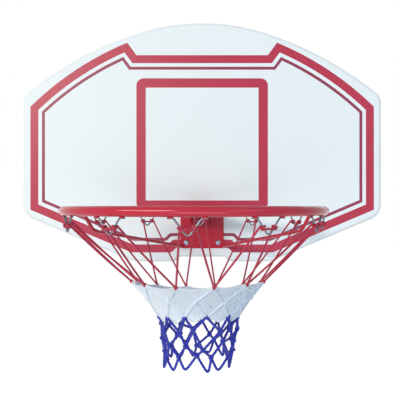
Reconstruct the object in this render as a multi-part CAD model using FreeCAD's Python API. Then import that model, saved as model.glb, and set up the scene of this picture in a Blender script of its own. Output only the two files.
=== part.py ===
import FreeCAD
import Part
import math
import os

from FreeCAD import Vector

# Basketball backboard with a bolted ring and a hanging cord net.
# Millimetres. +X is the board's right seen from the front, +Y points back to the post or wall, +Z is up.
# The origin is the centre of the rear mounting holes, on the face that a post or wall bracket seats on.

# Board
BOARD_WIDTH = 900.0
BOARD_DEPTH = 30.0
BOARD_SKIN = 4.5
RIM_WALL = 4.0
RIB_THICKNESS = 3.0
RIB_RIM_GAP = 13.0
EDGE_ROUND = 8.0
CROWN_RADIUS = 514.0
CROWN_HALF_WIDTH = 150.0
SHOULDER_RADIUS = 852.0
SHOULDER_CORNER_RADIUS = 30.0
LOWER_CORNER_RADIUS = 40.0
LOWER_SLOPE_DEG = 22.9
BASE_HALF_WIDTH = 172.0
BASE_CORNER_RADIUS = 60.0
STEP_HALF_WIDTH = 57.0
STEP_RISE = 12.0
STEP_RUN = 11.0
STEP_CORNER_RADIUS = 7.0

# Printed stripes and target, films set flush into the board's front
FILM_THICKNESS = 0.4
STRIPE_INSET = 19.0
STRIPE_WIDE = 20.0
STRIPE_GAP = 9.0
STRIPE_THIN = 7.5
STRIPE_BASE_RISE = 4.0
STRIPE_STEP_RADIUS = 11.0
STRIPE_ARC_RADIUS = 760.0
STRIPE_ARC_OFFSET = 102.0
STRIPE_ARC_RISE = 7.0
STRIPE_BAR_DROP = 82.0
STRIPE_BAR_HALF_WIDTH = 165.0
STRIPE_JOG_DEG = 54.0
TARGET_WIDTH = 330.0
TARGET_HEIGHT = 330.0
TARGET_BAR = 23.5
TARGET_CORNER_RADIUS = 18.0
TARGET_STRIPE_GAP = 21.5

# Ring, its bracket and its place on the board
RING_INSIDE_DIAMETER = 450.0
RING_ROD = 16.0
RING_ABOVE_BASE = 130.0
RING_TO_BOARD = 114.0
RING_ABOVE_UPPER_BOLTS = 2.0
BOLT_SPACING = 80.0
BRACKET_PLATE = 3.5
BRACKET_MARGIN = 14.0
BRACKET_CORNER_RADIUS = 4.0
TONGUE_WIDTH = 56.0
TONGUE_THICKNESS = 4.0
GUSSET_THICKNESS = 4.0
GUSSET_HEIGHT = 34.0
GUSSET_TIP_HEIGHT = 7.0
GUSSET_RING_GAP = 4.0

# Brace rods
BRACE_ROD = 7.0
BRACE_RING_ANGLE_DEG = 105.0
BRACE_BEND_RUN = 32.0
BRACE_BEND_DROP = 41.0
BRACE_BEND_RADIUS = 25.0
BRACE_CORNER_INSET = 4.0
BRACE_CORNER_RISE = 5.0

# Net hooks
HOOK_COUNT = 12
HOOK_WIRE = 3.0
HOOK_HALF_WIDTH = 20.0
HOOK_DROP = 37.0
HOOK_FOOT = 9.0
HOOK_BEND_RADIUS = 5.0

# Bolts, washers, nuts and the rear plate
BOLT_DIAMETER = 8.0
BOLT_CLEARANCE = 0.25
BOLT_HEAD_DIAMETER = 14.0
BOLT_HEAD_HEIGHT = 4.5
BOLT_OVERRUN = 4.0
BOSS_DIAMETER = 22.0
WASHER_DIAMETER = 16.0
WASHER_THICKNESS = 1.6
NUT_ACROSS_FLATS = 13.0
NUT_HEIGHT = 6.5
THREAD_CLEARANCE = 0.05
REAR_PLATE = 3.0
REAR_PLATE_MARGIN = 18.0
REAR_PLATE_CORNER_RADIUS = 10.0
MOUNT_HOLE_DIAMETER = 9.0
WELD_NUT_ACROSS_FLATS = 14.0
WELD_NUT_HEIGHT = 6.0

# Net: cord and knot diameters, then each row's radius, drop below the ring and lean up to the front.
# The slant is the extra length that a cord needs to stay clear of a turn that it meets at an angle.
RED_CORD = 2.8
WHITE_CORD = 5.2
BLUE_CORD = 3.4
RED_KNOT = 9.6
WHITE_KNOT = 11.0
BLUE_KNOT = 8.4
CORD_CLEARANCE = 0.3
HITCH_SLANT = 1.25
RED_KNOT_RADIUS = 121.0
RED_KNOT_DROP = 138.0
RED_KNOT_LEAN = 14.0
WHITE_KNOT_RADIUS = 95.0
WHITE_KNOT_DROP = 161.0
WHITE_KNOT_LEAN = 9.0
BLUE_TOP_RADIUS = 72.0
BLUE_TOP_DROP = 183.0
BLUE_TOP_LEAN = 4.0
BLUE_UPPER_RADIUS = 66.0
BLUE_UPPER_DROP = 216.0
BLUE_LOWER_RADIUS = 62.0
BLUE_LOWER_DROP = 249.0
BLUE_TIP_RADIUS = 59.0
BLUE_TIP_DROP = 287.0
BLUE_TIP_BEND_RADIUS = 4.0

# Derived sizes and places. The board reaches as high above the target as its stripes and crown need.
# The ribs run on the bolt lines, so bolts pass where ribs cross and mounting holes lie in the middle
# of rib cells.
RIB_PITCH = BOLT_SPACING
MOUNT_SPACING = 2.0 * RIB_PITCH
UPPER_BOLT_Z = -RIB_PITCH / 2.0
LOWER_BOLT_Z = UPPER_BOLT_Z - BOLT_SPACING
BOLT_PLACES = [
    (side * BOLT_SPACING / 2.0, z) for z in (UPPER_BOLT_Z, LOWER_BOLT_Z) for side in (-1.0, 1.0)
]
MOUNT_PLACES = [
    (side * MOUNT_SPACING / 2.0, end * MOUNT_SPACING / 2.0) for end in (-1.0, 1.0) for side in (-1.0, 1.0)
]
BOARD_BACK_Y = -REAR_PLATE
BOARD_FRONT_Y = BOARD_BACK_Y - BOARD_DEPTH
BRACKET_FRONT_Y = BOARD_FRONT_Y - BRACKET_PLATE
FILM_BACK_Y = BOARD_FRONT_Y + FILM_THICKNESS
TARGET_TOP = RING_ABOVE_BASE + TARGET_HEIGHT
STRIPE_BAR_TOP = TARGET_TOP + TARGET_STRIPE_GAP + STRIPE_THIN + STRIPE_GAP + STRIPE_WIDE
BOARD_HEIGHT = STRIPE_BAR_TOP + STRIPE_BAR_DROP
RING_Z = UPPER_BOLT_Z + RING_ABOVE_UPPER_BOLTS
BASE_Z = RING_Z - RING_ABOVE_BASE
RING_RADIUS = (RING_INSIDE_DIAMETER + RING_ROD) / 2.0
RING_Y = BOARD_FRONT_Y - RING_TO_BOARD - RING_ROD / 2.0 - RING_RADIUS
RING_CENTRE = Vector(0, RING_Y, RING_Z)
BRACKET_HALF = BOLT_SPACING / 2.0 + BRACKET_MARGIN
BRACKET_BOTTOM_Z = LOWER_BOLT_Z - BRACKET_MARGIN
BOLT_RADIUS = BOLT_DIAMETER / 2.0
BOLT_HOLE_RADIUS = BOLT_RADIUS + BOLT_CLEARANCE
HOOK_PITCH_DEG = 360.0 / HOOK_COUNT
UP = Vector(0, 0, 1)
BACK = Vector(0, 1, 0)


def front_point(point, y):
    """Put a board-plane point (x, height above the base edge) at depth y."""
    return Vector(point[0], y, BASE_Z + point[1])


def line_meet(first, second):
    """Crossing of two lines, each given as (point, direction)."""
    (px, pz), (ux, uz) = first
    (qx, qz), (vx, vz) = second
    along = ((qx - px) * vz - (qz - pz) * vx) / (ux * vz - uz * vx)
    return (px + along * ux, pz + along * uz)


def line_inset(line, inset):
    """Shift a line to the right of its direction, which is the board's inside on a clockwise outline."""
    (px, pz), (ux, uz) = line
    length = math.hypot(ux, uz)
    return ((px + inset * uz / length, pz - inset * ux / length), (ux, uz))


def line_circle_meet(line, centre, radius):
    """Last crossing, along the line, with a circle."""
    (px, pz), (ux, uz) = line
    length = math.hypot(ux, uz)
    ux, uz = ux / length, uz / length
    across = px - centre[0]
    above = pz - centre[1]
    middle = -(across * ux + above * uz)
    nearest = math.hypot(across + middle * ux, above + middle * uz)
    along = middle + math.sqrt(radius * radius - nearest * nearest)
    return (px + along * ux, pz + along * uz)


def lower_lines(inset, rise):
    """Side, slope, base, step and raised base of the right half, clockwise, moved in by inset.

    The base, the step and the raised base are moved up by rise as well.
    """
    slope = math.radians(LOWER_SLOPE_DEG)
    lines = [
        ((BOARD_WIDTH / 2.0, 0.0), (0.0, -1.0)),
        ((BASE_HALF_WIDTH, 0.0), (-math.cos(slope), -math.sin(slope))),
        ((0.0, rise), (-1.0, 0.0)),
        ((STEP_HALF_WIDTH, rise + STEP_RISE), (-STEP_RUN, STEP_RISE)),
        ((0.0, rise + STEP_RISE), (-1.0, 0.0)),
    ]
    return [line_inset(line, inset) for line in lines]


def mirror(points):
    """Left half of a symmetric outline, in the order that continues the right half."""
    return [(-x, z) for x, z in reversed(points)]


def rounded_corner(before, corner, after, radius):
    """Start, middle and end of the arc that rounds a corner."""
    to_before = Vector(before[0] - corner[0], before[1] - corner[1], 0).normalize()
    to_after = Vector(after[0] - corner[0], after[1] - corner[1], 0).normalize()
    half = to_before.getAngle(to_after) / 2.0
    at = Vector(corner[0], corner[1], 0)
    reach = radius / math.tan(half)
    bisector = (to_before + to_after).normalize()
    middle = at + bisector * (radius / math.sin(half) - radius)
    return [(p.x, p.y) for p in (at + to_before * reach, middle, at + to_after * reach)]


def on_circle(centre, radius, turn):
    """Point on a circle, its turn measured from straight up towards +X."""
    return (centre[0] + radius * math.sin(turn), centre[1] + radius * math.cos(turn))


def circle_arc(centre, radius, start_turn, end_turn):
    """Start, middle and end of an arc."""
    middle_turn = (start_turn + end_turn) / 2.0
    return [on_circle(centre, radius, turn) for turn in (start_turn, middle_turn, end_turn)]


def board_half(inset):
    """Right half of the outline from crown to base: lists of 2 points are lines, of 3 are arcs."""
    shoulder = SHOULDER_RADIUS - inset
    corner = SHOULDER_CORNER_RADIUS - inset
    turn = math.asin(CROWN_HALF_WIDTH / CROWN_RADIUS)
    crown_centre = (0.0, BOARD_HEIGHT - CROWN_RADIUS)
    shoulder_centre = on_circle(crown_centre, CROWN_RADIUS - SHOULDER_RADIUS, turn)
    corner_x = BOARD_WIDTH / 2.0 - inset - corner
    across = corner_x - shoulder_centre[0]
    corner_turn = math.asin(across / (shoulder - corner))
    corner_centre = on_circle(shoulder_centre, shoulder - corner, corner_turn)
    pieces = [
        circle_arc(crown_centre, CROWN_RADIUS - inset, 0.0, turn),
        circle_arc(shoulder_centre, shoulder, turn, corner_turn),
        circle_arc(corner_centre, corner, corner_turn, math.pi / 2.0),
    ]
    lines = lower_lines(inset, 0.0)
    points = [pieces[-1][-1]]
    points += [line_meet(lines[k], lines[k + 1]) for k in range(len(lines) - 1)]
    points.append((0.0, STEP_RISE + inset))
    radii = [radius - inset for radius in (LOWER_CORNER_RADIUS, BASE_CORNER_RADIUS, STEP_CORNER_RADIUS)]
    radii.append(STEP_CORNER_RADIUS + inset)
    last = points[0]
    for k, radius in enumerate(radii):
        arc = rounded_corner(points[k], points[k + 1], points[k + 2], radius)
        pieces.append([last, arc[0]])
        pieces.append(arc)
        last = arc[-1]
    pieces.append([last, points[-1]])
    return pieces


def edge(points):
    """A line through 2 points or an arc through 3."""
    if len(points) == 2:
        return Part.LineSegment(*points).toShape()
    return Part.Arc(*points).toShape()


def board_prism(inset, start_y, end_y):
    """The board's outline, moved in by inset, between two depths."""
    right = board_half(inset)
    left = [mirror(piece) for piece in reversed(right)]
    wire = Part.Wire([edge([front_point(p, start_y) for p in piece]) for piece in right + left])
    return Part.Face(wire).extrude(BACK * (end_y - start_y))


def box(low_x, high_x, low_y, high_y, low_z, high_z):
    """Box between two values on each axis."""
    return Part.makeBox(high_x - low_x, high_y - low_y, high_z - low_z, Vector(low_x, low_y, low_z))


def pin(radius, start_y, end_y, place):
    """Cylinder along Y at a place (x, z)."""
    return Part.makeCylinder(radius, end_y - start_y, Vector(place[0], start_y, place[1]), BACK)


def bolt_holes(start_y, end_y):
    """Clearance holes for the ring bolts between two depths."""
    return [pin(BOLT_HOLE_RADIUS, start_y, end_y, place) for place in BOLT_PLACES]


def rounded_plate(low_x, high_x, low_z, high_z, radius, start_y, end_y):
    """Upright plate with rounded corners."""
    plate = box(low_x, high_x, start_y, end_y, low_z, high_z)
    corners = [e for e in plate.Edges if abs(e.Vertexes[0].Y - e.Vertexes[1].Y) > (end_y - start_y) / 2.0]
    return plate.makeFillet(radius, corners)


def hexagon(across_flats, start_y, end_y, place):
    """Hexagonal prism along Y at a place (x, z)."""
    radius = across_flats / math.sqrt(3.0)
    corners = [on_circle(place, radius, math.pi / 3.0 * k) for k in range(6)]
    points = [Vector(x, start_y, z) for x, z in corners + corners[:1]]
    return Part.Face(Part.makePolygon(points)).extrude(BACK * (end_y - start_y))


def rib_lines(low, high):
    """Rib places on the bolt lines between two limits, leaving out slivers beside the rim."""
    first = math.ceil((low + RIB_RIM_GAP) / RIB_PITCH - 0.5)
    last = math.floor((high - RIB_RIM_GAP) / RIB_PITCH - 0.5)
    return [(k + 0.5) * RIB_PITCH for k in range(first, last + 1)]


def board_panel(films):
    """Moulded panel: skin, rim, ribs on the bolt lines, bolt bosses and flush beds for the films."""
    top_z = BASE_Z + BOARD_HEIGHT
    panel = board_prism(0.0, BOARD_FRONT_Y, BOARD_BACK_Y)
    front_edges = [e for e in panel.Edges if abs(e.BoundBox.YMax - BOARD_FRONT_Y) < EDGE_ROUND / 2.0]
    panel = panel.makeFillet(EDGE_ROUND, front_edges)
    cells = board_prism(RIM_WALL, BOARD_FRONT_Y + BOARD_SKIN, BOARD_BACK_Y)
    rib = RIB_THICKNESS / 2.0
    side_x = BOARD_WIDTH / 2.0
    depth = (BOARD_FRONT_Y, BOARD_BACK_Y)
    ribs = [box(x - rib, x + rib, *depth, BASE_Z, top_z) for x in rib_lines(-side_x, side_x)]
    ribs += [box(-side_x, side_x, *depth, z - rib, z + rib) for z in rib_lines(BASE_Z, top_z)]
    bosses = [pin(BOSS_DIAMETER / 2.0, *depth, place) for place in BOLT_PLACES]
    cells = cells.cut(ribs + bosses)
    return panel.cut([cells] + bolt_holes(*depth) + films)


def stripe_half(inset):
    """Right half of the printed border, clockwise from the bar's middle, moved in by inset.

    The corners where it steps up beside the bracket are rounded.
    """
    jog = math.radians(STRIPE_JOG_DEG)
    centre = (-STRIPE_ARC_OFFSET, BOARD_HEIGHT + STRIPE_ARC_RISE - STRIPE_ARC_RADIUS)
    radius = STRIPE_ARC_RADIUS - inset
    bar = line_inset(((0.0, STRIPE_BAR_TOP), (1.0, 0.0)), inset)
    rise = line_inset(((STRIPE_BAR_HALF_WIDTH, STRIPE_BAR_TOP), (math.cos(jog), math.sin(jog))), inset)
    lines = lower_lines(STRIPE_INSET + inset, STRIPE_BASE_RISE)
    peak = line_circle_meet(rise, centre, radius)
    turns = [math.asin((x - centre[0]) / radius) for x in (peak[0], lines[0][0][0])]
    arc = circle_arc(centre, radius, *turns)
    corner = line_meet(bar, rise)
    below = [arc[-1]] + [line_meet(lines[k], lines[k + 1]) for k in range(len(lines) - 1)]
    below.append((0.0, lines[-1][0][1]))
    *outer, base_start, base_end, rise_end, middle = below
    foot = rounded_corner(base_start, base_end, rise_end, STRIPE_STEP_RADIUS)
    head = rounded_corner(base_end, rise_end, middle, STRIPE_STEP_RADIUS)
    sides = [[start, end] for start, end in zip(outer, outer[1:] + [base_start])]
    step = [[base_start, foot[0]], foot, [foot[-1], head[0]], head, [head[-1], middle]]
    return [[bar[0], corner], [corner, arc[0]], arc] + sides + step


def stripe_prism(inset):
    """Whole area inside the printed border, moved in by inset, one film thick."""
    right = stripe_half(inset)
    left = [mirror(piece) for piece in reversed(right)]
    wire = Part.Wire([edge([front_point(p, BOARD_FRONT_Y) for p in piece]) for piece in right + left])
    return Part.Face(wire).extrude(BACK * FILM_THICKNESS)


def stripe(outer_inset, width):
    """One closed stripe of the border, drilled for the ring bolts."""
    inside = stripe_prism(outer_inset + width)
    return stripe_prism(outer_inset).cut([inside] + bolt_holes(BOARD_FRONT_Y, FILM_BACK_Y))


def target_square():
    """Square outline standing on the ring's level, drilled for the ring bolts."""
    film = (BOARD_FRONT_Y, FILM_BACK_Y)
    half = TARGET_WIDTH / 2.0
    top_z = BASE_Z + TARGET_TOP
    outside = rounded_plate(-half, half, RING_Z, top_z, TARGET_CORNER_RADIUS, *film)
    inside = box(-half + TARGET_BAR, half - TARGET_BAR, *film, RING_Z + TARGET_BAR, top_z - TARGET_BAR)
    return outside.cut([inside] + bolt_holes(*film))


def ring():
    """Round rod bent to a circle."""
    return Part.makeTorus(RING_RADIUS, RING_ROD / 2.0, RING_CENTRE, UP)


def bracket_plate():
    """Plate that bolts the ring to the board."""
    faces = (BRACKET_FRONT_Y, BOARD_FRONT_Y)
    height = (BRACKET_BOTTOM_Z, UPPER_BOLT_Z + BRACKET_MARGIN)
    plate = rounded_plate(-BRACKET_HALF, BRACKET_HALF, *height, BRACKET_CORNER_RADIUS, *faces)
    return plate.cut(bolt_holes(*faces))


def bracket_tongue():
    """Flat tongue on the ring's level, from the bracket plate to the back of the ring."""
    half = TONGUE_WIDTH / 2.0
    low_z = RING_Z - TONGUE_THICKNESS / 2.0
    blank = box(-half, half, RING_Y + RING_RADIUS, BRACKET_FRONT_Y, low_z, low_z + TONGUE_THICKNESS)
    inside = Part.makeCylinder(RING_RADIUS, TONGUE_THICKNESS, Vector(0, RING_Y, low_z), UP)
    return blank.cut([ring(), inside])


def bracket_gusset(side):
    """Tapered web under one edge of the tongue."""
    outer = side * TONGUE_WIDTH / 2.0
    top_z = RING_Z - TONGUE_THICKNESS / 2.0
    ring_back = math.sqrt((RING_RADIUS + RING_ROD / 2.0) ** 2 - outer**2)
    tip_y = RING_Y + ring_back + GUSSET_RING_GAP
    points = [
        Vector(outer, BRACKET_FRONT_Y, top_z),
        Vector(outer, BRACKET_FRONT_Y, top_z - GUSSET_HEIGHT),
        Vector(outer, tip_y, top_z - GUSSET_TIP_HEIGHT),
        Vector(outer, tip_y, top_z),
    ]
    web = Part.Face(Part.makePolygon(points + points[:1]))
    return web.extrude(Vector(-side * GUSSET_THICKNESS, 0, 0))


def rod(points, bend_radius, diameter):
    """Round rod along straight runs joined by tangent arcs."""
    edges = []
    last = points[0]
    for k in range(1, len(points) - 1):
        to_before = (points[k - 1] - points[k]).normalize()
        to_after = (points[k + 1] - points[k]).normalize()
        half = to_before.getAngle(to_after) / 2.0
        reach = bend_radius / math.tan(half)
        inward = bend_radius / math.sin(half) - bend_radius
        middle = points[k] + (to_before + to_after).normalize() * inward
        edges.append(edge([last, points[k] + to_before * reach]))
        edges.append(edge([points[k] + to_before * reach, middle, points[k] + to_after * reach]))
        last = points[k] + to_after * reach
    edges.append(edge([last, points[-1]]))
    section = Part.Wire(Part.makeCircle(diameter / 2.0, points[0], points[1] - points[0]))
    return Part.Wire(edges).makePipeShell([section], True, False)


def around(angle_deg, radius, drop):
    """Point at an angle round the ring's axis, 0 at the front and turning to +X, below the ring."""
    angle = math.radians(angle_deg)
    return RING_CENTRE + Vector(radius * math.sin(angle), -radius * math.cos(angle), -drop)


def brace(side):
    """Bent rod from under the ring to the bracket's lower corner."""
    weld = around(side * BRACE_RING_ANGLE_DEG, RING_RADIUS, 0.0)
    corner = Vector(
        side * (BRACKET_HALF - BRACE_CORNER_INSET), BRACKET_FRONT_Y, BRACKET_BOTTOM_Z + BRACE_CORNER_RISE
    )
    run = Vector(corner.x - weld.x, corner.y - weld.y, 0).normalize()
    bend = weld + run * BRACE_BEND_RUN - UP * BRACE_BEND_DROP
    past = corner + (corner - bend).normalize() * BRACE_ROD
    bar = rod([weld, bend, past], BRACE_BEND_RADIUS, BRACE_ROD)
    behind = box(-BRACKET_HALF, BRACKET_HALF, BRACKET_FRONT_Y, BOARD_BACK_Y, BASE_Z, RING_Z)
    return bar.cut([ring(), behind])


def hook_points():
    """Centre line of the front hook: foot, leg, leg and foot under the ring."""
    foot_drop = (RING_ROD + HOOK_WIRE) / 2.0
    outer = HOOK_HALF_WIDTH + HOOK_FOOT
    places = [
        (-outer, foot_drop),
        (-HOOK_HALF_WIDTH, foot_drop),
        (0.0, HOOK_DROP),
        (HOOK_HALF_WIDTH, foot_drop),
        (outer, foot_drop),
    ]
    return [around(0.0, RING_RADIUS, drop) + Vector(x, 0, 0) for x, drop in places]


def net_hook(index):
    """V of wire welded under the ring."""
    hook = rod(hook_points(), HOOK_BEND_RADIUS, HOOK_WIRE).cut(ring())
    hook.rotate(RING_CENTRE, UP, index * HOOK_PITCH_DEG)
    return hook


def at_bolts(shape_at):
    """One solid at each ring bolt."""
    return Part.makeCompound([shape_at(place) for place in BOLT_PLACES])


def bolt_end_y():
    """Rear end of the ring bolts."""
    return WASHER_THICKNESS + NUT_HEIGHT + BOLT_OVERRUN


def ring_bolt(place):
    """Dome-head bolt with a plain shank, turned about its own axis."""
    radius = BOLT_HEAD_DIAMETER / 2.0
    ball = (radius**2 + BOLT_HEAD_HEIGHT**2) / (2.0 * BOLT_HEAD_HEIGHT)
    half_turn = math.asin(radius / ball) / 2.0
    crown_y = BRACKET_FRONT_Y - BOLT_HEAD_HEIGHT
    dome_middle = (ball * math.sin(half_turn), crown_y + ball * (1.0 - math.cos(half_turn)))
    profile = [
        [(0.0, crown_y), dome_middle, (radius, BRACKET_FRONT_Y)],
        [(radius, BRACKET_FRONT_Y), (BOLT_RADIUS, BRACKET_FRONT_Y)],
        [(BOLT_RADIUS, BRACKET_FRONT_Y), (BOLT_RADIUS, bolt_end_y())],
        [(BOLT_RADIUS, bolt_end_y()), (0.0, bolt_end_y())],
        [(0.0, bolt_end_y()), (0.0, crown_y)],
    ]
    axis = Vector(place[0], 0, place[1])
    section = Part.Wire([edge([axis + Vector(r, y, 0) for r, y in piece]) for piece in profile])
    return Part.Face(section).revolve(axis, BACK, 360.0)


def washer(place):
    """Flat washer on the rear plate."""
    blank = pin(WASHER_DIAMETER / 2.0, 0.0, WASHER_THICKNESS, place)
    return blank.cut(pin(BOLT_HOLE_RADIUS, 0.0, WASHER_THICKNESS, place))


def nut(place):
    """Hex nut on the washer."""
    ends = (WASHER_THICKNESS, WASHER_THICKNESS + NUT_HEIGHT)
    return hexagon(NUT_ACROSS_FLATS, *ends, place).cut(pin(BOLT_RADIUS + THREAD_CLEARANCE, *ends, place))


def rear_plate():
    """Steel plate on the back of the ribs, with the ring bolts' holes and the mounting holes."""
    half = MOUNT_SPACING / 2.0 + REAR_PLATE_MARGIN
    faces = (BOARD_BACK_Y, 0.0)
    plate = rounded_plate(
        -half, half, LOWER_BOLT_Z - REAR_PLATE_MARGIN, half, REAR_PLATE_CORNER_RADIUS, *faces
    )
    mount_holes = [pin(MOUNT_HOLE_DIAMETER / 2.0, *faces, place) for place in MOUNT_PLACES]
    return plate.cut(bolt_holes(*faces) + mount_holes)


def weld_nut(place):
    """Nut welded to the plate's front, inside a rib cell."""
    ends = (BOARD_BACK_Y - WELD_NUT_HEIGHT, BOARD_BACK_Y)
    return hexagon(WELD_NUT_ACROSS_FLATS, *ends, place).cut(pin(MOUNT_HOLE_DIAMETER / 2.0, *ends, place))


def net_row(radius, drop, lean, half_step):
    """Knot centres of one row of the net, between the hooks where half_step is 0.5."""
    angles = [(k + half_step) * HOOK_PITCH_DEG for k in range(HOOK_COUNT)]
    return [around(a, radius, drop - lean * math.cos(math.radians(a))) for a in angles]


def knot(centre, diameter):
    """Round knot."""
    return Part.makeSphere(diameter / 2.0, centre)


def cord(start, end, diameter, start_trim, end_trim):
    """Straight cord between two points, cut short at each end."""
    along = (end - start).normalize()
    length = start.distanceToPoint(end) - start_trim - end_trim
    return Part.makeCylinder(diameter / 2.0, length, start + along * start_trim, along)


def knot_trim(diameter):
    """Length that a cord stops short of a knot's centre."""
    return diameter / 2.0 + CORD_CLEARANCE


def mesh(first, first_knot, pairs, second_knot, diameter):
    """Cords of one row of the net, from each knot to the two knots beside it in another row."""
    trims = (knot_trim(first_knot), knot_trim(second_knot))
    return [cord(start, end, diameter, *trims) for start, ends in zip(first, pairs) for end in ends]


def beside(row, half_step):
    """For each knot of a row on the other angles, the two knots of this row beside it."""
    if half_step:
        return [(row[k], row[(k + 1) % HOOK_COUNT]) for k in range(HOOK_COUNT)]
    return [(row[k - 1], row[k]) for k in range(HOOK_COUNT)]


def leg_middle(side):
    """Middle of one leg of the front hook, and the leg's direction."""
    points = hook_points()
    top = points[1] if side < 0 else points[3]
    return (top + points[2]) * 0.5, (points[2] - top).normalize()


def turn_radius():
    """Centre-line radius of the cord turn round a hook's leg."""
    return (HOOK_WIRE + RED_CORD) / 2.0 + CORD_CLEARANCE


def net_hitch(index):
    """Cord turn round each leg of a hook, with a bar between the turns outside the legs."""
    pieces = []
    bar_ends = []
    for side in (-1, 1):
        middle, along = leg_middle(side)
        pieces.append(Part.makeTorus(turn_radius(), RED_CORD / 2.0, middle, along))
        bar_ends.append(middle - BACK * turn_radius())
    bar_trim = HITCH_SLANT * (RED_CORD + CORD_CLEARANCE)
    pieces.append(cord(*bar_ends, RED_CORD, bar_trim, bar_trim))
    hitch = Part.makeCompound(pieces)
    hitch.rotate(RING_CENTRE, UP, index * HOOK_PITCH_DEG)
    return hitch.Solids


def hitch_end(index, side):
    """Point inside a hook's leg where a hanging cord leaves its turn."""
    middle, _ = leg_middle(side)
    turn = FreeCAD.Rotation(UP, index * HOOK_PITCH_DEG)
    return RING_CENTRE + turn.multVec(middle + BACK * turn_radius() - RING_CENTRE)


def bottom_loop(tip, first, last):
    """Cord bent round the tip of a bottom mesh, cut short of the two knots that it hangs from."""
    trim = knot_trim(BLUE_KNOT)
    ends = [end + (tip - end).normalize() * trim for end in (first, last)]
    return rod([ends[0], tip, ends[1]], BLUE_TIP_BEND_RADIUS, BLUE_CORD)


def net_nodes():
    """Red, white and blue bands of the net."""
    red_row = net_row(RED_KNOT_RADIUS, RED_KNOT_DROP, RED_KNOT_LEAN, 0.5)
    white_row = net_row(WHITE_KNOT_RADIUS, WHITE_KNOT_DROP, WHITE_KNOT_LEAN, 0.0)
    blue_top = net_row(BLUE_TOP_RADIUS, BLUE_TOP_DROP, BLUE_TOP_LEAN, 0.5)
    blue_upper = net_row(BLUE_UPPER_RADIUS, BLUE_UPPER_DROP, 0.0, 0.0)
    blue_lower = net_row(BLUE_LOWER_RADIUS, BLUE_LOWER_DROP, 0.0, 0.5)
    blue_tips = net_row(BLUE_TIP_RADIUS, BLUE_TIP_DROP, 0.0, 0.0)
    every = range(HOOK_COUNT)
    hitches = [solid for k in every for solid in net_hitch(k)]
    hitch_trim = HITCH_SLANT * RED_CORD / 2.0 + 2.0 * CORD_CLEARANCE
    red = [knot(centre, RED_KNOT) for centre in red_row]
    for k in every:
        for end in (hitch_end(k, 1), hitch_end(k + 1, -1)):
            red.append(cord(red_row[k], end, RED_CORD, knot_trim(RED_KNOT), hitch_trim))
    white = [knot(centre, WHITE_KNOT) for centre in white_row]
    white += mesh(white_row, WHITE_KNOT, beside(red_row, False), RED_KNOT, WHITE_CORD)
    white += mesh(white_row, WHITE_KNOT, beside(blue_top, False), BLUE_KNOT, WHITE_CORD)
    blue = [knot(centre, BLUE_KNOT) for centre in blue_top + blue_upper + blue_lower]
    blue += mesh(blue_top, BLUE_KNOT, beside(blue_upper, True), BLUE_KNOT, BLUE_CORD)
    blue += mesh(blue_upper, BLUE_KNOT, beside(blue_lower, False), BLUE_KNOT, BLUE_CORD)
    blue += [bottom_loop(tip, *ends) for tip, ends in zip(blue_tips, beside(blue_lower, False))]
    return {
        "net_red_hitches": Part.makeCompound(hitches),
        "net_red_cords": Part.makeCompound(red),
        "net_white_mesh": Part.makeCompound(white),
        "net_blue_mesh": Part.makeCompound(blue),
    }


def build():
    """Every sub-part by name."""
    stripe_thin_inset = STRIPE_WIDE + STRIPE_GAP
    films = {
        "border_stripe_wide": stripe(0.0, STRIPE_WIDE),
        "border_stripe_thin": stripe(stripe_thin_inset, STRIPE_THIN),
        "target_square": target_square(),
    }
    nodes = {"board_panel": board_panel(list(films.values())), **films}
    nodes["ring"] = ring()
    nodes["bracket_plate"] = bracket_plate()
    nodes["bracket_tongue"] = bracket_tongue()
    for name, side in (("left", -1), ("right", 1)):
        nodes[f"bracket_gusset_{name}"] = bracket_gusset(side)
        nodes[f"brace_{name}"] = brace(side)
    for index in range(HOOK_COUNT):
        nodes[f"net_hook_{index + 1:02d}"] = net_hook(index)
    nodes["ring_bolts"] = at_bolts(ring_bolt)
    nodes["bolt_washers"] = at_bolts(washer)
    nodes["bolt_nuts"] = at_bolts(nut)
    nodes["rear_plate"] = rear_plate()
    nodes["mount_weld_nuts"] = Part.makeCompound([weld_nut(place) for place in MOUNT_PLACES])
    nodes.update(net_nodes())
    return nodes


os.makedirs("parts", exist_ok=True)
for node_name, node_shape in build().items():
    node_shape.exportStep(f"parts/{node_name}.step")
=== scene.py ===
"""Studio scene of a basketball backboard: finishes, weld beads, bolt threads and the knotted cord net."""

import logging
import math
import random
from dataclasses import dataclass, field
from enum import Enum
from typing import Any, ClassVar

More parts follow.
